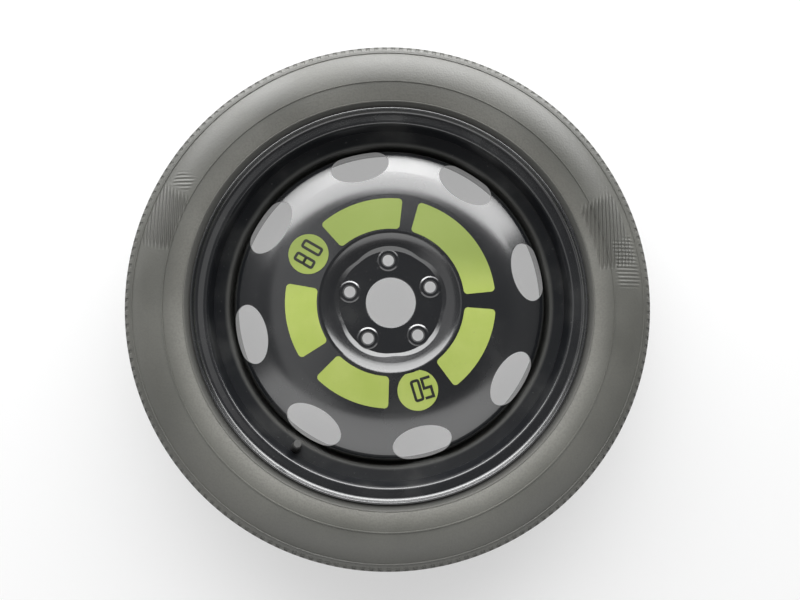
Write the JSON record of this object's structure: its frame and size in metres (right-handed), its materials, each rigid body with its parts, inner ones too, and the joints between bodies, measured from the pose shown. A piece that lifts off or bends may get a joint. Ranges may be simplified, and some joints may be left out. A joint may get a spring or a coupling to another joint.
{
  "type": "temporary spare wheel",
  "caption": "Narrow temporary-use spare tyre on a black pressed steel wheel with oval vents, yellow-green stickers and a snap-in valve.",
  "frame": {"origin": "on the wheel axis, at the floor under the inboard sidewall that the wheel lies on", "axes": "+Z is the wheel axis, out of the outboard face; +X to the right and +Y up in the picture"},
  "size_m": [0.6732, 0.6732, 0.1338],
  "materials": {
    "tyre_rubber": "dusty matte",
    "black_paint": "satin gloss",
    "valve_rubber": "matte",
    "seal_rubber": "matte",
    "brass": "machined",
    "spring_steel": "drawn wire",
    "cap_plastic": "moulded",
    "sticker": "vinyl film"
  },
  "bodies": {
    "wheel": {"tyre": "tyre_rubber", "rim": "black_paint", "wheel_disc": "black_paint", "bolt_pad": "black_paint", "disc_welds": "black_paint", "valve_body": "valve_rubber", "valve_stem": "brass", "core_plug": "brass", "core_barrel": "brass", "core_gasket": "seal_rubber", "core_spring": "spring_steel", "label_top_left": "sticker", "label_top_right": "sticker", "label_right": "sticker", "label_bottom_left": "sticker", "label_left": "sticker", "label_speed_left": "sticker", "label_speed_low": "sticker"},
    "cap": {"valve_cap": "cap_plastic", "cap_seal": "seal_rubber"},
    "pin": {"core_pin": "brass", "core_cup": "seal_rubber"}
  },
  "joints": [
    {"name": "cap_off", "type": "slide", "parent": "wheel", "child": "cap", "axis": [0.1968, 0.2995, 0.9336], "range_m": [0, 0.02]},
    {"name": "pin_press", "type": "slide", "parent": "wheel", "child": "pin", "axis": [-0.1968, -0.2995, -0.9336], "range_m": [0, 0.0012], "stiffness_N_per_m": 900, "deforming": ["core_spring"]}
  ]
}
